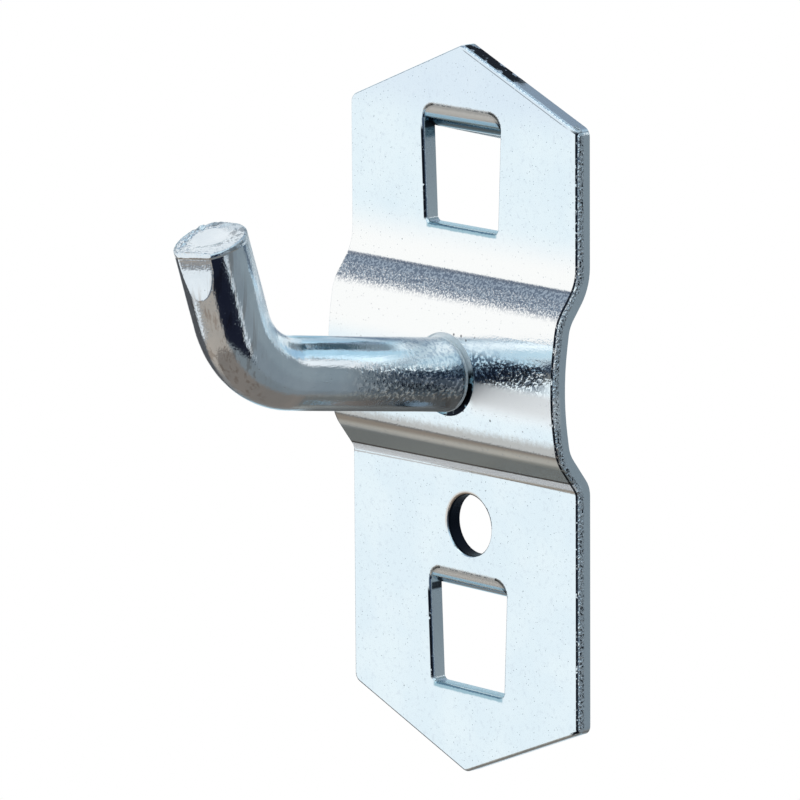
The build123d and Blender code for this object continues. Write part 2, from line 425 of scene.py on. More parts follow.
def window_marks(plate, x, y, z, coarse, ragged):
    """Shares of the marks round both windows, and under wall_gap the gap to their sheared walls.

    Painted reflections lie below each other on the front of each lug's bend, a tan strip and a blue-green
    one, then a strip of painted shade, with painted shade along their edge and in the upper corners round
    them.
    """
    marks = dict.fromkeys(("burr", "foot", "lighter", "tan", "teal", "shade", "border", "torn"), 0.0)
    walls = []
    for strength, fields in zip(WINDOW_SHADES, window_fields(plate, x, z)):
        gap, depth, across, beside, bend = fields
        below = depth - plate.window_height / MM
        on_left = across.fall(-1.0, 0.0)
        at_top = depth.fall(0.2, 0.6)
        # A wall ends where the window's inside and its lug begin
        no_wall = gap.fall(-0.07, -0.03) + depth.fall(bend, bend + 0.3)
        walls.append(abs(gap) + no_wall * NO_WALL)
        # Painted shade: a dark line where the front rolls over into the window's left wall
        left_line = beside.rise(0.05, 0.10) * beside.fall(0.26, 0.32) * on_left
        marks["burr"] += left_line * depth.rise(1.6, 2.2) * below.fall(-0.4, -0.1)
        # Painted reflection: a blue-green band with a ragged edge on the window's foot
        marks["foot"] += (below.rise(-0.05, 0.05) * (below + ragged * 0.2).fall(0.40, 0.55)
                          * beside.fall(-0.2, 0.1))
        # Painted light: the sheared walls paler towards the window's foot
        marks["lighter"] += depth.rise(3.0, 10.5) * gap.fall(0.05, 0.1)
        # The front of the bend lies further from the bend's axis than its back does
        axis = bend - plate.sheet / MM
        along = y - axis
        reach = (along.least(0.0) ** 2 + (depth - along.most(0.0) * LUG_DROOP) ** 2) ** 0.5
        under = reach.rise(axis + 0.6, axis + 1.0)
        inside = gap.fall(-0.01, 0.04) * under
        share = depth / bend
        # Painted reflections on the front of the lug's bend: tan along the top edge and in a strip, then
        # blue-green
        edge_reflected_tan = (gap + coarse * 0.3).fall(0.15, 0.5) * at_top * under
        marks["tan"] += (inside * share.fall(0.30, 0.38)).most(edge_reflected_tan * 0.8)
        marks["teal"] += inside * share.rise(0.30, 0.38) * share.fall(0.46, 0.54)
        marks["shade"] += inside * share.rise(0.46, 0.54) * share.fall(1.3, 1.5) * strength
        # Painted shade: a ragged dark line along the window's top edge
        marks["border"] += (abs(gap) + coarse * 0.2).fall(0.15, 0.4) * at_top * under
        # Painted shade: a dark line just outside the window's top edge, and dark patches in its upper corners
        brow_shade = gap.rise(0.0, 0.06) * gap.fall(0.10, 0.24) * depth.fall(0.3, 0.6) * under
        right = gap.rise(-0.40, -0.2) * across.rise(2.8, 3.4) * depth.rise(0.35, 0.8) * depth.fall(1.9, 2.5)
        left = beside.rise(-0.75, -0.55) * on_left * depth.rise(1.35, 1.5) * depth.fall(1.9, 2.1)
        marks["torn"] += inside * right.most(left) + brow_shade * coarse.rise(0.45, 0.55) * 0.6
    marks["wall_gap"] = walls[0].least(walls[1])
    return marks


def outline_gap(plate, x, z):
    """Gap in millimetres from a point of the plate to its outline: straight sides and two low roofs."""
    half_width = plate.width / 2 / MM
    apex = (plate.side_height / 2 + plate.roof_rise) / MM
    slope = plate.roof_rise / (plate.width / 2)
    roof = (apex - abs(z) - abs(x) * slope) / math.hypot(1, slope)
    return (half_width - abs(x)).least(roof)


def below_front(plate, y, z):
    """Depth in millimetres behind the front of the ribbed sheet, 0 on the front itself.

    The front climbs from the flats along a flank and then follows the crown's arc, with soft corners between.
    """
    slope = math.tan(plate.flank_angle)
    peak = plate.rib_depth + plate.crown_radius * (1 / math.cos(plate.crown_fall) - 1)
    shoulder = peak - plate.crown_height / 2 * math.tan(plate.crown_fall)
    half_base = plate.crown_height / 2 + shoulder / slope
    away = abs(z - plate.rib_z / MM)
    crown = plate.rib_depth / MM - away * away * (MM / 2 / plate.crown_radius)
    climb = ((half_base / MM - away) * slope).soft_least(crown, 0.7).soft_most(0.0, 0.6)
    return y + plate.sheet / MM + climb


def rib_marks(x, upper, front, ragged):
    """Shares of the marks across the rib, most of them painted reflections, highlights and shade, by upper,
    the height in millimetres over the rib's middle.

    The marks on its lower flank and root follow a slight tilt.
    """
    tilted = upper - x * RIB_TILT
    return {
        # Painted highlight: white over the rib's crown
        "whitened": upper.rise(0.5, 3.0) * upper.fall(8.8, 12.5),
        "stripe": upper.rise(5.4, 6.1) * upper.fall(7.8, 8.0) * front,
        # Painted reflection: a dark line along the top of the flank's stripe
        "stripe_line": abs(upper - 7.8).fall(0.04, 0.14) * front,
        # Painted reflection: a tan band with a ragged upper edge on the lower flank
        "scorched": tilted.rise(-6.0, -5.5) * (tilted + ragged * 0.8).fall(-4.6, -3.7) * front,
        # Painted reflection: green-grey over the lower flank
        "low_flank": tilted.rise(-7.9, -7.8) * tilted.fall(-6.5, -6.1) * front,
        # Painted highlight: a white, matt strip along the rib's foot
        "pale_root": tilted.rise(-8.5, -8.4) * tilted.fall(-7.95, -7.85) * front,
        # Painted shade: a dark line along the foot of the lower flank
        "root_line": abs(tilted + 7.8).fall(0.04, 0.11) * front,
        # A thin, ragged brown line along the rib's foot
        "root_scar": abs(tilted + 8.55 + ragged * 0.1).fall(0.03, 0.09) * ragged.rise(0.28, 0.42) * front,
    }


def seat_marks(plate, bar, x, z, behind, front, curls, blocks):
    """Shares of painted shade, highlights and reflections at the screw hole, at the bar's seat and right of
    the bar.
    """
    hole_x = x - plate.hole[0] / MM
    hole_z = z - plate.hole[2] / MM
    hole_reach = (hole_x ** 2 + hole_z ** 2) ** 0.5
    hole_upper = (hole_z * 0.8 - hole_x * 0.6).rise(0.6, 1.8)
    side_x = x - bar.offset / MM
    side_z = z - bar.root_z / MM
    seat_reach = (side_x ** 2 + side_z ** 2) ** 0.5
    ring = seat_reach.fall(3.50, 3.62) * behind.rise(0.0, 0.08)
    low_right = (side_x * 0.5 - side_z * 0.8).rise(0.6, 1.3)
    beside_bar = side_x.rise(2.9, 3.3) * side_x.fall(10.5, 12.9) * front
    return {
        # Painted shade: black inside the screw hole
        "bore": hole_reach.fall(2.54, 2.60),
        # Painted reflection: tan on the upper side of the screw hole's rim
        "hole_rim": hole_reach.fall(2.74, 2.90) * hole_upper,
        # Painted shade: black in the gap at the lower right of the bar's seat
        "seat": ring * low_right * blocks.fall(0.53, 0.60),
        # Painted glints: pale blue blots in the seat's gap
        "glints": ring * low_right * blocks.rise(0.53, 0.60),
        # Painted highlight: white and matt round the seat, away from its lower right
        "bright_ring": ring * (1 - low_right),
        # Painted reflection of the bar: dark blue with curls on the crown to the bar's right
        "burnt": beside_bar * (side_z + curls * 0.8).rise(-0.1, 0.9) * side_z.fall(1.8, 2.6),
        # Painted light: pale and rougher below the bar's painted reflection, over the bar's mirrored
        # underside
        "frosted": side_x.rise(2.4, 3.6) * side_z.rise(-3.4, -1.3) * side_z.fall(-0.5, 0.3) * front,
    }


def plate_zinc(finish, plate, bar):
    """Bright zinc on the back plate: speckled flanks, ragged rims of painted shade, dull sheared walls and
    tight bends, with painted reflections, highlights and shade on its rib, round its windows and round the
    bar.

    Heights and gaps in its masks are in millimetres.
    """
    material, book, spot = new_material("plate_zinc_bright")
    x, y, z = book.parts(spot)
    grain = book.noise(spot, MM / finish.grain, 1.0, 0.6)
    coarse = book.noise(spot, 0.85 * MM / finish.grain, 2.0, 0.6)
    curls = book.noise(spot, 3.0, 1.5, 0.55)
    cloud = book.noise(spot, 0.16, 3.0, 0.6)
    mottle = book.noise(spot, 2.2, 4.0, 0.75)
    ragged = book.noise(spot, 2.6, 3.0, 0.7)
    burrs = book.noise(spot, 3.6, 2.0, 0.6)
    blocks = book.noise(spot, 0.9, 3.0, 0.7)
    behind = below_front(plate, y, z)
    front = behind.fall(0.5, 0.9)
    upper = z - plate.rib_z / MM
    pits = flecks(book, spot, 0.7, 0.3, 0.075).most(flecks(book, spot, 3.0, 0.6, 0.045))
    deep_pits = flecks(book, spot, 0.6, 0.95, 0.15) * upper.rise(-5.2, -4.6) * upper.fall(4.4, 5.0) * front
    rib = rib_marks(x, upper, front, ragged)
    window = window_marks(plate, x, y, z, coarse, ragged)
    root = seat_marks(plate, bar, x, z, behind, front, curls, blocks)

    # Sheared walls, with a ragged line of painted shade where the front rolls over into them, and the lugs
    edge = outline_gap(plate, x, z)
    gap = edge.least(window["wall_gap"])
    wall = gap.fall(0.01, 0.05)
    lug = y.rise(0.1, 0.5)
    # Painted shade: dark lines where the front rolls over into the right side and the roof
    right_side = x.rise(12.3, 12.7) * z.fall(24.2, 24.6)
    roof_line = abs(edge - 0.36).fall(0.02, 0.06) * z.rise(24.4, 24.8) * x.rise(0.0, 0.4) * 0.6
    burr = (edge.rise(0.10, 0.15) * edge.fall(0.30, 0.35) * right_side).most(roof_line).most(window["burr"])
    # Painted black on the roof's cut wall near the apex, broken up with noise
    apex_black = wall * z.rise(25.0, 25.2) * x.rise(-0.2, 0.2) * (x + ragged * 2.0).fall(6.6, 7.8)
    painted_dark_rims = (burr * ragged.rise(0.33, 0.42)).most(apex_black * blocks.fall(0.55, 0.58))
    rim = behind.rise(0.06, 0.12) * behind.fall(0.50, 0.70) * x.rise(12.5, 12.9)
    gaps = wall * rim * coarse.fall(0.40, 0.46)
    # Black: painted shade in the screw hole, the seat's gap, the window corners and the rims, and dark specks
    dark = root["bore"].most(root["seat"]).most(window["torn"]).most(painted_dark_rims).most(gaps)

    color = book.paint(book.blend(cloud.rise(0.36, 0.66), finish.pale, finish.zinc), [
        (mottle.rise(0.52, 0.68) * 0.5, MOTTLE_BLUE),
        (z.rise(23.0, 26.0) * 0.5, APEX_BLUE),
        (rib["whitened"], CROWN_HIGHLIGHT_WHITE),
        (rib["stripe_line"] * 0.6, STRIPE_EDGE_REFLECTION),
        # Painted dark reflection, speckled on the coarse grain of the flank's stripe
        (rib["stripe"] * coarse.rise(0.42, 0.56) * 0.8, STRIPE_PAINTED_SPECK),
        (rib["scorched"] * 0.8, FLANK_REFLECTED_TAN),
        (rib["pale_root"], ROOT_HIGHLIGHT_WHITE),
        (rib["low_flank"] * 0.75, FLANK_REFLECTED_GREEN),
        (rib["root_line"] * 0.9, ROOT_CREASE_SHADE),
        (rib["root_scar"] * 0.6, ROOT_LINE_BROWN),
        (pits * 0.35, finish.dull),
        (deep_pits * 0.8, PIT_BLACK),
        (wall, book.blend(window["lighter"], finish.cut, CUT_PAINTED_PALE)),
        (window["foot"] * front, FOOT_REFLECTED_TEAL),
        (lug, LUG_PALE),
        (window["tan"], STRIP_REFLECTED_TAN),
        (window["border"] * 0.6, STRIP_SHADE_BORDER),
        (window["teal"], STRIP_REFLECTED_TEAL),
        (window["shade"], STRIP_SHADE),
        (root["hole_rim"] * 0.8, HOLE_RIM_REFLECTED_TAN),
        (root["frosted"].most(root["bright_ring"]), FROST_PAINTED_WHITE),
        (root["glints"], SEAT_PAINTED_GLINT),
        (root["burnt"] * curls.fall(0.49, 0.57) * 0.85, BAR_REFLECTION_BLUE),
        (dark, SHADE_BLACK),
    ])

    # Relief: grain, the curls of zinc in the painted reflection beside the bar, pits and granular rolled rims
    granular = gap.fall(0.12, 0.20) * (0.3 + 2.2 * rim)
    speckled = rib["stripe"] * upper.fall(7.0, 7.6)
    height = (grain * 0.08 + coarse * speckled * 0.6 + curls * root["burnt"] * 0.9 - pits * 0.5
              + (burrs - 0.5) * granular * 1.8)
    matt = (root["bright_ring"] * 0.7).most(lug * 0.9).most(rib["pale_root"] * 0.9).most(root["glints"] * 0.8)
    dulled = (window["tan"] * 0.75 + window["teal"] * 0.7).most(matt)
    roughness = (finish.roughness + cloud * 0.03 + wall * 0.10 + rib["low_flank"] * 0.12
                 + (dulled + dark + root["frosted"]) * 0.4)
    finish_metal(book, color, roughness, 1 - dulled, height, finish.relief)
    return material


def bar_zinc(finish, bar):
    """Bright zinc on the bar: drawn lines along it, a painted bluish reflection on top of the run, painted
    shade below the run and near the root with white curls of painted highlight, painted highlights on the
    shoulder and on the leg's back, and painted tan reflections on the leg's front.

    Along the run, lift goes from -1 below to 1 on top. Along the leg, inward goes from -1 at its front to 1
    at its back, and up_leg is the way in millimetres from the sharp corner of the axis.
    """
    material, book, spot = new_material("rod_zinc_bright")
    x, y, z = book.parts(spot)
    grain = book.noise(spot, MM / finish.grain, 1.0, 0.6)
    curls = book.noise(spot, 3.0, 1.5, 0.55)
    cloud = book.noise(spot, 0.35, 3.0, 0.6)
    scraps = book.noise(spot, 1.5, 3.0, 0.7)
    pits = flecks(book, spot, 1.1, 0.45, 0.06).most(flecks(book, spot, 2.8, 0.3, 0.04))
    glints = flecks(book, spot, 0.75, 0.35, 0.07)
    radius = bar.diameter / 2 / MM
    crown_y = bar.crown_y / MM
    tip = bar.leg_length / MM
    leg_y = (bar.crown_y - bar.reach * math.cos(bar.rise)) / MM
    leg_z = (bar.root_z + bar.reach * math.sin(bar.rise)) / MM
    lift = (z - (bar.root_z / MM + (crown_y - y) * math.tan(bar.rise))) / radius
    inward = (y - leg_y + (z - leg_z) * math.tan(bar.lean)) / radius
    up_leg = (z - leg_z) * math.cos(bar.lean) - (y - leg_y) * math.sin(bar.lean)
    from_axis = (inward ** 2 + ((x - bar.offset / MM) / radius) ** 2) ** 0.5

    # Painted reflections, shade and highlights on the run, from the bend to the shoulder at its root
    clouded_y = y + cloud * 3.0
    run = y.rise(-21.5, -18.5)
    streaks = book.drawn(spot, (1.6, 0.12, 1.6))
    drawn = streaks * run + book.drawn(spot, (1.8, 1.8, 0.15)) * (1 - run)
    # Painted highlight: pale and matt on the shoulder at the run's root
    collar_highlight = (y + cloud * 0.5).rise(crown_y - 0.2, crown_y + 0.05)
    # Painted reflection: blue along the top of the run
    top = run * lift.rise(0.82, 0.99) * y.fall(-12.0, -8.0)
    # Painted shade: dark grey and matt along the underside of the run
    under = run * lift.fall(-0.94, -0.76)
    # Painted shade below the run near its root, with white curls of painted highlight in it
    shade = clouded_y.rise(-17.0, -10.5) * lift.fall(0.2, 0.5) * (1 - collar_highlight)
    curl_highlights = shade * lift.rise(-0.75, -0.35)
    # Painted reflection: blue specks on the upper side of the run near its root, which is also rougher
    frosted = clouded_y.rise(-11.0, -6.5) * lift.rise(0.2, 0.6) * (1 - collar_highlight)

    # Marks on the leg and round its cropped tip: a painted highlight, painted tan reflections and torn flecks
    # Painted highlight: a pale, matt streak up the back of the leg
    rubbed = inward.rise(0.35, 0.8) * z.rise(leg_z + 4.0, leg_z + 6.0)
    on_tip = up_leg.rise(tip - 0.75, tip - 0.55)
    torn_rim = on_tip * from_axis.rise(0.42, 0.6)
    flecked = torn_rim * inward.rise(-0.5, 0.0) * scraps.rise(0.52, 0.60)
    smooth_front = inward.fall(-0.9, -0.7) * z.rise(leg_z + 6.0, leg_z + 8.0)
    # Painted reflection: tan-brown streaks on the front of the leg
    tan_reflection_streaks = drawn.rise(0.50, 0.64) * (1 - run) * inward.fall(-0.3, 0.2) * (1 - smooth_front.most(on_tip))

    color = book.paint(book.blend(cloud.rise(0.35, 0.7), BAR_GREY, BAR_BRIGHT), [
        (top * (0.45 + streaks * 0.5), TOP_REFLECTED_BLUE),
        (shade * 0.75, ROOT_SHADE),
        (curl_highlights * curls.rise(0.50, 0.60), CURL_HIGHLIGHT_WHITE),
        (frosted * curls.fall(0.42, 0.50) * 0.55, FROST_PAINTED_SPECK),
        (tan_reflection_streaks * 0.55, LEG_REFLECTED_BROWN),
        (pits * 0.7, finish.dull),
        (rubbed, STREAK_HIGHLIGHT_PALE),
        (under * 0.85, UNDERSIDE_SHADE),
        (collar_highlight, COLLAR_HIGHLIGHT_PALE),
        (flecked * 0.8, TIP_FLECK),
    ])
    height = (grain * 0.12 + drawn * (1 - smooth_front) * 0.4 - pits * 0.35 + glints * 1.2
              + curls * (curl_highlights * 1.4 + frosted * 0.5) + scraps * torn_rim * 2.0)
    matt = (rubbed * 0.6).most(collar_highlight * 0.7).most(under * 0.8)
    roughness = finish.roughness + cloud * 0.05 + matt * 0.6 + frosted * 0.2
    finish_metal(book, color, roughness, 1 - matt, height, finish.relief)
    return material


def waves(points, length, seed, count=24):
    """Smooth noise about 0: root 2 times the mean of count sine waves of about that length, drawn by seed."""
    draw = np.random.default_rng(seed)
    ways = draw.normal(size=(3, count))
    ways *= 2 * np.pi / length / np.linalg.norm(ways, axis=0) * draw.uniform(0.6, 1.4, count)
    phases = draw.uniform(0, 2 * np.pi, count)
    return np.sin(points @ ways + phases).mean(axis=-1) * np.sqrt(2)


def closed_skin(name, first_pole, rings, last_pole):
    """A closed mesh: rows of points that run round an axis, with a pole at each end."""
    rows, columns = rings.shape[:2]
    points = np.concatenate([[first_pole], rings.reshape(-1, 3), [last_pole]])
    place = 1 + np.arange(rows * columns).reshape(rows, columns)
    after = np.roll(place, -1, axis=1)
    quads = np.stack([place[:-1], after[:-1], after[1:], place[1:]], axis=-1).reshape(-1, 4)
    foot = np.stack([np.zeros(columns, int), after[0], place[0]], axis=-1)
    top = np.stack([place[-1], after[-1], np.full(columns, len(points) - 1)], axis=-1)
    mesh = bpy.data.meshes.new(name)
    mesh.from_pydata(points.tolist(), [], quads.tolist() + foot.tolist() + top.tolist())
    mesh.polygons.foreach_set("use_smooth", np.ones(len(mesh.polygons), bool))
    mesh.update()
    piece = bpy.data.objects.new(name, mesh)
    bpy.context.scene.collection.objects.link(piece)
    return piece


def bar_axis(sizes, along):
    """Place and way of the bar's axis, along metres from the rib's crown: a run, an arc and a leg.

    The heading is the run's rise, then grows by along / bend_radius in the arc, then is the leg's.
    """
    turn = math.pi / 2 - sizes.lean - sizes.rise
    run = sizes.reach - sizes.bend_radius * math.tan(turn / 2)
    arc = np.clip((along - run) / sizes.bend_radius, 0, turn)
    leg = np.maximum(along - run - sizes.bend_radius * turn, 0)
    straight = np.minimum(along, run)
    heading = sizes.rise + arc
    forward = (straight * math.cos(sizes.rise) + leg * math.sin(sizes.lean)
               + sizes.bend_radius * (np.sin(heading) - math.sin(sizes.rise)))
    upward = (straight * math.sin(sizes.rise) + leg * math.cos(sizes.lean)
              + sizes.bend_radius * (math.cos(sizes.rise) - np.cos(heading)))
    across = np.full_like(forward, sizes.offset)
    return np.stack([across, sizes.crown_y - forward, sizes.root_z + upward], axis=-1), heading


def bar_length(sizes):
    """Length of the bar's axis from the rib's crown to the tip."""
    turn = math.pi / 2 - sizes.lean - sizes.rise
    return sizes.reach + sizes.leg_length + sizes.bend_radius * (turn - 2 * math.tan(turn / 2))


def around(heading, angle):
    """Unit way from the axis to the surface: right at angle 0, and up from the run at a quarter turn."""
    right = np.cos(angle) * np.ones_like(heading)
    upper = np.sin(angle)
    return np.stack([right, upper * np.sin(heading), upper * np.cos(heading)], axis=-1)


def head_rows(sizes, sheet, angle):
    """Rows of the peened head and the spigot: a profile of radius and depth turned about the spigot's axis.

    The dome is a cap of a ball from its pole to the rim, and the rim curls down to the back of the sheet.
    """
    radius = sizes.spigot_diameter / 2
    back_y = sizes.crown_y + sheet
    rim = radius + sizes.head_width
    rim_y = back_y + sizes.head_curl
    dome_height = sizes.head_height - sizes.head_curl
    ball = (rim ** 2 + dome_height ** 2) / (2 * dome_height)
    dome = np.linspace(0.06, 1, DOME_ROWS) * rim
    dome_y = rim_y + dome_height - ball + np.sqrt(ball ** 2 - dome ** 2)
    under = np.linspace(rim, radius + sizes.head_bearing, STEP_ROWS)[1:]
    under_y = np.linspace(rim_y, back_y, STEP_ROWS)[1:]
    stem_y = np.linspace(back_y, sizes.crown_y + sizes.seat_depth, STEP_ROWS)
    profile = np.concatenate([dome, under, np.full(STEP_ROWS, radius)])
    depth = np.concatenate([dome_y, under_y, stem_y])
    spin = np.stack([np.cos(angle), np.zeros_like(angle), np.sin(angle)], axis=-1)
    rows = profile[:, None, None] * spin[None]
    rows += np.array([sizes.offset, 0, sizes.root_z])
    rows[..., 1] += depth[:, None]
    return rows, np.array([sizes.offset, back_y + sizes.head_height, sizes.root_z])


def bar_rows(sizes, angle):
    """Rows of the bar: circles along its axis, sheared to the seat at its root and to the crop at its tip.

    A row has a distance along the axis and a width, and moves by the share near_root of the seat's slant and
    the share near_tip of the crop's slant, both of which change round the bar. The rim's round grows from 0.3
    to 1.2 times tip_round, from the side that was cropped first to the far side. Waves then wear the body by
    about 0.006 of its radius, the tip is torn and the flat at its front is cut.
    """
    radius = sizes.diameter / 2
    length = bar_length(sizes)
    seat = -sizes.seat_depth / math.cos(sizes.rise)
    start = seat + sizes.shoulder_chamfer
    seat_slant = radius * np.sin(angle) * math.tan(sizes.rise)
    tip_slant = -radius * math.tan(sizes.tip_slope) * np.cos(angle - (sizes.tip_turn - math.pi / 2))
    far_side = np.clip(0.45 - 0.8 * np.cos(angle + math.radians(25)), 0, 1)
    tip_round = sizes.tip_round * (0.3 + 0.9 * far_side)
    end = length - tip_round
    flat_radius = radius - tip_round
    body = np.linspace(0, 1, BODY_ROWS)[:, None]
    bow = np.linspace(0, math.pi / 2, RIM_ROWS)[1:, None]
    cap = np.linspace(1, 0.03, TIP_ROWS)[1:, None]
    level = np.ones_like(angle)
    along = np.concatenate([
        [seat * level], start + body * (end - start),
        end + tip_round * np.sin(bow), length * level * np.ones_like(cap)])
    width = np.concatenate([
        [(radius - sizes.shoulder_chamfer) * level], radius * level * np.ones_like(body),
        flat_radius + tip_round * np.cos(bow), flat_radius * cap])
    near_root = np.clip(1 - (along - start) / (3 * radius), 0, 1)
    near_root[0] = width[0] / radius
    near_tip = np.clip((along - length) / radius + 1, 0, 1) ** 2
    near_tip[-len(cap):] = flat_radius * cap / radius
    place, heading = bar_axis(sizes, along + near_root * seat_slant + near_tip * tip_slant)
    way = around(heading, angle[None])
    points = place + width[..., None] * way
    wear = 0.006 * radius * (1 + waves(points, 2.2 * radius, 5)) * np.clip((along - start) / radius, 0, 1)
    points -= wear[..., None] * way
    on_tip = np.clip((along - end) / tip_round, 0, 1) ** 2
    points -= torn_tip(sizes, points, width / radius, on_tip * far_side)[..., None] * leg_way(sizes)
    points = cut_facet(sizes, points, length)
    return points, points[-1].mean(axis=0)


def leg_way(sizes):
    """Unit way up the leg."""
    return np.array([0, -math.sin(sizes.lean), math.cos(sizes.lean)])


def torn_tip(sizes, points, out, share):
    """Depth of the torn relief: waves in a soft ring, and a droop to the rim that grows with out squared.

    out is the share of the bar's radius at which a point lies, and share scales the depth.
    """
    radius = sizes.diameter / 2
    ring = np.exp(-((out - 0.72) / 0.2) ** 2)
    rough = waves(points, 0.3 * radius, 11) + 0.8 * waves(points, 0.13 * radius, 12)
    torn = ring * np.clip(0.4 + rough, 0, 1.5)
    droop = np.clip((out - 0.6) / 0.4, 0, 1) ** 2
    return share * (torn + droop) * sizes.tear_depth


def cut_facet(sizes, points, length):
    """The points with what stands beyond the flat at the tip's front moved back onto it.

    The flat dips by facet_depth * (1 - down ** 2) below the bar's round, where down goes from 0 at the tip to
    1 at the flat's foot. It dips a little less near the tip, and a rounded lip joins it to the tip.
    """
    radius = sizes.diameter / 2
    upward = leg_way(sizes)
    front = np.array([0, -math.cos(sizes.lean), -math.sin(sizes.lean)])
    facing = np.array([math.sin(sizes.facet_turn), 0, 0]) + front * math.cos(sizes.facet_turn)
    reach = points - bar_axis(sizes, np.array([length]))[0][0]
    down = np.clip(-(reach @ upward) / sizes.facet_length, 0, 1)
    rim_drop = radius * math.tan(sizes.tip_slope) * math.cos(sizes.tip_turn - sizes.facet_turn)
    lip = np.clip(1 - (down * sizes.facet_length - rim_drop) / sizes.facet_lip, 0, 1)
    hollow = 0.1 * sizes.facet_depth * np.clip(1 - down / 0.4, 0, 1)
    dip = sizes.facet_depth * (1 - down ** 2) - hollow + 0.4 * sizes.facet_lip * lip ** 2
    beyond = np.maximum(reach @ facing - (radius - dip), 0) * (down < 1)
    return points - beyond[..., None] * facing


class HOOK_OT_bar(bpy.types.Operator):
    """Build the bent bar with its cropped tip, facet and riveted root"""

    bl_idname = "hook.bar"
    bl_label = "Hook Bar"

    def execute(self, context):
        sizes = context.scene.hook_bar
        angle = np.linspace(0, 2 * np.pi, BAR_COLUMNS, endpoint=False)
        head, head_pole = head_rows(sizes, context.scene.hook_plate.sheet, angle)
        bar, tip_pole = bar_rows(sizes, angle)
        piece = closed_skin("hook_bar", head_pole, np.concatenate([head, bar]), tip_pole)
        piece.data.materials.append(bar_zinc(context.scene.hook_finish, sizes))
        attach(piece, "root")
        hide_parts("hook_rod")
        return {"FINISHED"}


class HOOK_OT_plate(bpy.types.Operator):
    """Plate the pressed back plate with bright zinc"""

    bl_idname = "hook.plate"
    bl_label = "Back Plate Finish"

    def execute(self, context):
        plate = frame["nodes"]["back_plate"]
        scene = context.scene
        material = plate_zinc(scene.hook_finish, scene.hook_plate, scene.hook_bar)
        for holder in plate.material_slots:
            holder.material = material
        return {"FINISHED"}


def panel(book, way, azimuth, elevation, half_width, half_height, softness):
    """1 where the way meets a flat panel at azimuth and elevation, in degrees, and distance 1, else 0."""
    turn = math.radians(azimuth)
    lift = math.radians(elevation)
    facing = Vector((math.sin(turn) * math.cos(lift), -math.cos(turn) * math.cos(lift), math.sin(lift)))
    side = Vector((math.cos(turn), math.sin(turn), 0))
    upper = facing.cross(side)
    ahead, aside, above = [
        book.add("ShaderNodeVectorMath", {"operation": "DOT_PRODUCT"}, {0: way, 1: axis}, output="Value")
        for axis in (facing, side, upper)]
    depth = ahead.most(0.001)
    across = abs(aside / depth).fall(half_width - softness, half_width + softness)
    high = abs(above / depth).fall(half_height - softness, half_height + softness)
    return across * high * ahead.rise(0.0, 0.05)


def studio_world(stage):
    """A grey room over a warm floor: a white wall in front, pale light over it, dark cloths at its right.

    Each panel has a colour and its azimuth, elevation, half width, half height and softness. It covers the
    panels before it.
    """
    world = bpy.data.worlds.new("studio")
    world.use_nodes = True
    book = NodeBook(world.node_tree)
    way = book.add("ShaderNodeTexCoord", output="Generated")
    x, y, z = book.parts(way)
    ceiling = book.blend(x.rise(-0.2, 0.3), (0.33, 0.40, 0.49), (0.50, 0.60, 0.68))
    ground = book.paint(book.blend(y.rise(-0.16, 0.02), (0.49, 0.42, 0.36), (0.25, 0.235, 0.225)), [
        (z.fall(-0.775, -0.745), (0.235, 0.20, 0.175)),
        (x.rise(0.28, 0.45), (0.225, 0.25, 0.265)),
    ])
    color = book.paint(book.blend(y.rise(-0.1, 0.4), stage.room, (0.27, 0.31, 0.335)), [
        (z.rise(0.42, 0.58), ceiling),
        (z.rise(0.93, 0.97), (0.74, 0.90, 0.98)),
        (z.fall(-0.60, -0.52), ground),
    ])
    panels = {
        "right wall": ((0.26, 0.295, 0.32), (108, -10, 0.75, 0.7, 0.12)),
        "right rear wall": ((0.29, 0.335, 0.36), (143, -4, 0.3, 0.25, 0.15)),
        "right rear lamp": ((1.05, 1.05, 1.05), (142, 21, 0.17, 0.11, 0.05)),
        "blue rear wall": ((0.50, 0.70, 0.80), (-132, -8, 0.36, 0.5, 0.12)),
        "left rear lamp": ((1.0, 1.0, 1.0), (-115, 42, 0.26, 0.34, 0.06)),
        "pale light over the front": ((0.70, 0.88, 0.97), (20, 48, 0.9, 0.44, 0.12)),
        "blue haze": ((0.50, 0.66, 0.80), (18, 18, 0.34, 0.2, 0.1)),
        "high lamp": ((1.05, 1.08, 1.08), (39, 64, 0.3, 0.16, 0.06)),
        "right front lamp": ((1.25, 1.3, 1.3), (33, 28, 0.18, 0.11, 0.035)),
        "left front lamp": ((1.4, 1.4, 1.38), (-14, 48, 0.22, 0.2, 0.06)),
        "soft dark cloth": ((0.04, 0.065, 0.12), (52, -12, 0.3, 0.3, 0.2)),
        "black cloth": ((0.012, 0.014, 0.026), (59, -34, 0.48, 0.2, 0.03)),
        "white strip": ((0.80, 0.84, 0.87), (93, -24, 0.05, 0.2, 0.02)),
        "white wall": ((1.0, 1.0, 1.0), (-48, -1.4, 1.25, 0.628, 0.025)),
        "low dark cloth": ((0.10, 0.10, 0.105), (-95, -25, 0.45, 0.19, 0.05)),
    }
    color = book.paint(color, [(panel(book, way, *place), light) for light, place in panels.values()])
    camera, glossy, passing = [
        book.add("ShaderNodeLightPath", output=name)
        for name in ("Is Camera Ray", "Is Glossy Ray", "Is Transmission Ray")]
    backdrop = panel(book, way, -132, -11, 0.25, 0.2, 0.06)
    color = book.blend(camera.most(glossy.most(passing) * backdrop), color, (1.0, 1.0, 1.0))
    surface = book.add("ShaderNodeBackground", None, {"Color": color, "Strength": 1.0})
    book.add("ShaderNodeOutputWorld", None, {"Surface": surface})
    return world


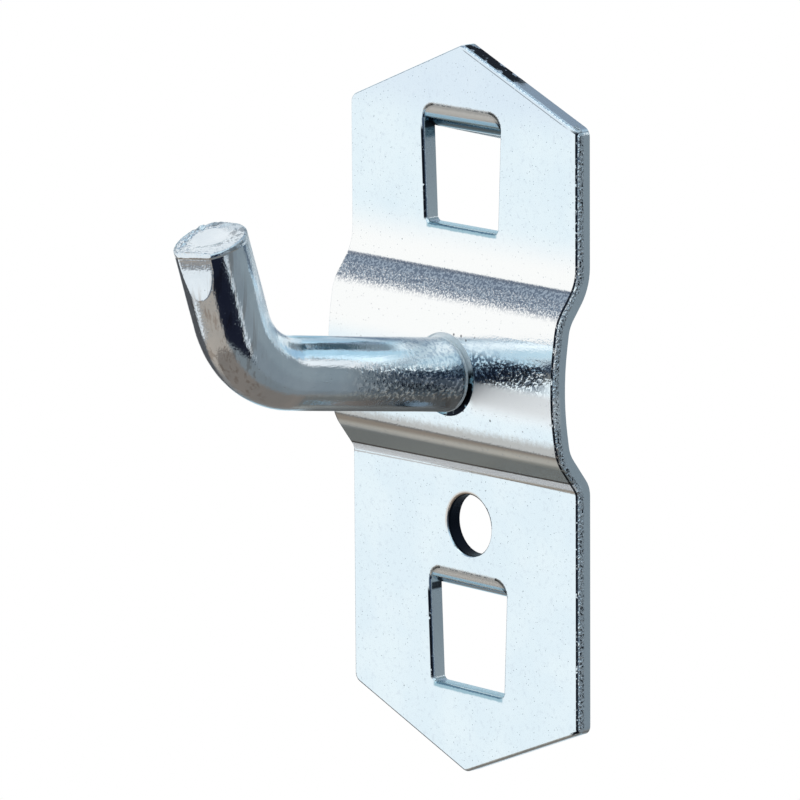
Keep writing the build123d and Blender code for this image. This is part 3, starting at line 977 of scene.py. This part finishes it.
def floor_finish(stage):
    """Matt pale floor: nearly white to the camera, where it still keeps its shadow."""
    material, book, spot = new_material("floor_pale")
    mottle = book.noise(spot, 0.02, 3.0, 0.6)
    color = book.blend(mottle, stage.floor_color, [0.94 * part for part in stage.floor_color])
    matt = book.add("ShaderNodeBsdfDiffuse", None, {"Color": color})
    white = book.add("ShaderNodeEmission", None, {"Color": (1.0, 1.0, 1.0, 1.0), "Strength": 1.0})
    seen = book.add("ShaderNodeLightPath", output="Is Camera Ray")
    both = book.add("ShaderNodeMixShader", None, {0: seen * 0.9, 1: matt, 2: white})
    book.add("ShaderNodeOutputMaterial", None, {"Surface": both})
    return material


def round_floor(stage):
    """A flat disc below the hook: rings of points from its middle to floor_radius."""
    angle = np.linspace(0, 2 * np.pi, FLOOR_COLUMNS, endpoint=False)
    reach = np.linspace(0.02, 1, FLOOR_ROWS)[:, None] * stage.floor_radius
    level = np.full((FLOOR_ROWS, FLOOR_COLUMNS), CAD_BOX[0].z - stage.floor_drop)
    rings = np.stack([reach * np.cos(angle), reach * np.sin(angle), level], axis=-1)
    columns = np.arange(FLOOR_ROWS * FLOOR_COLUMNS).reshape(FLOOR_ROWS, FLOOR_COLUMNS)
    after = np.roll(columns, -1, axis=1)
    quads = np.stack([columns[:-1], columns[1:], after[1:], after[:-1]], axis=-1).reshape(-1, 4)
    mesh = bpy.data.meshes.new("floor")
    mesh.from_pydata(rings.reshape(-1, 3).tolist(), [], quads.tolist() + [columns[0].tolist()])
    floor = bpy.data.objects.new("floor", mesh)
    floor.data.materials.append(floor_finish(stage))
    floor.visible_glossy = False
    bpy.context.scene.collection.objects.link(floor)
    return floor


def set_camera(stage):
    """A camera at azimuth and elevation round the aim, turned by roll about its view."""
    back = Vector((
        math.sin(stage.azimuth) * math.cos(stage.elevation),
        -math.cos(stage.azimuth) * math.cos(stage.elevation),
        math.sin(stage.elevation)))
    right = Vector((math.cos(stage.azimuth), math.sin(stage.azimuth), 0))
    up = back.cross(right)
    turn = Matrix((right, up, back)).transposed() @ Matrix.Rotation(-stage.roll, 3, "Z").transposed()
    camera = bpy.data.objects.new("camera", bpy.data.cameras.new("camera"))
    camera.data.sensor_width = SENSOR_WIDTH
    camera.data.lens = stage.lens
    camera.data.clip_start = 0.01
    camera.data.clip_end = 100.0
    camera.matrix_world = Matrix.Translation(Vector(stage.aim) + back * stage.distance) @ turn.to_4x4()
    bpy.context.scene.collection.objects.link(camera)
    bpy.context.scene.camera = camera


class HOOK_OT_stage(bpy.types.Operator):
    """Set the camera, the pale floor and the studio light"""

    bl_idname = "hook.stage"
    bl_label = "Stage"

    def execute(self, context):
        stage = context.scene.hook_stage
        context.scene.view_settings.view_transform = "Standard"
        context.scene.world = studio_world(stage)
        round_floor(stage)
        set_camera(stage)
        return {"FINISHED"}


class HOOK_PT_sidebar(bpy.types.Panel):
    """Lists the hook's pieces and their sizes and colours."""

    bl_idname = "HOOK_PT_sidebar"
    bl_label = "Tool Hook"
    bl_space_type = "VIEW_3D"
    bl_region_type = "UI"
    bl_category = "Tool Hook"

    def draw(self, context):
        scene = context.scene
        groups = [
            (HOOK_OT_plate, scene.hook_plate),
            (HOOK_OT_plate, scene.hook_finish),
            (HOOK_OT_bar, scene.hook_bar),
            (HOOK_OT_stage, scene.hook_stage),
        ]
        for operator, group in groups:
            box = self.layout.box()
            box.operator(operator.bl_idname)
            for name in group.bl_rna.properties.keys():
                if name not in ("rna_type", "name"):
                    box.prop(group, name)


GROUPS = {"hook_bar": BarSizes, "hook_plate": PlateSizes, "hook_finish": ZincFinish, "hook_stage": StageSetup}
CLASSES = (*GROUPS.values(), HOOK_OT_plate, HOOK_OT_bar, HOOK_OT_stage, HOOK_PT_sidebar)


def register():
    for each in CLASSES:
        bpy.utils.register_class(each)
    for name, group in GROUPS.items():
        setattr(bpy.types.Scene, name, bpy.props.PointerProperty(type=group))


def unregister():
    for name in GROUPS:
        delattr(bpy.types.Scene, name)
    for each in reversed(CLASSES):
        bpy.utils.unregister_class(each)


def main():
    register()
    bpy.ops.hook.plate()
    bpy.ops.hook.bar()
    bpy.ops.hook.stage()


if __name__ == "__main__":
    main()
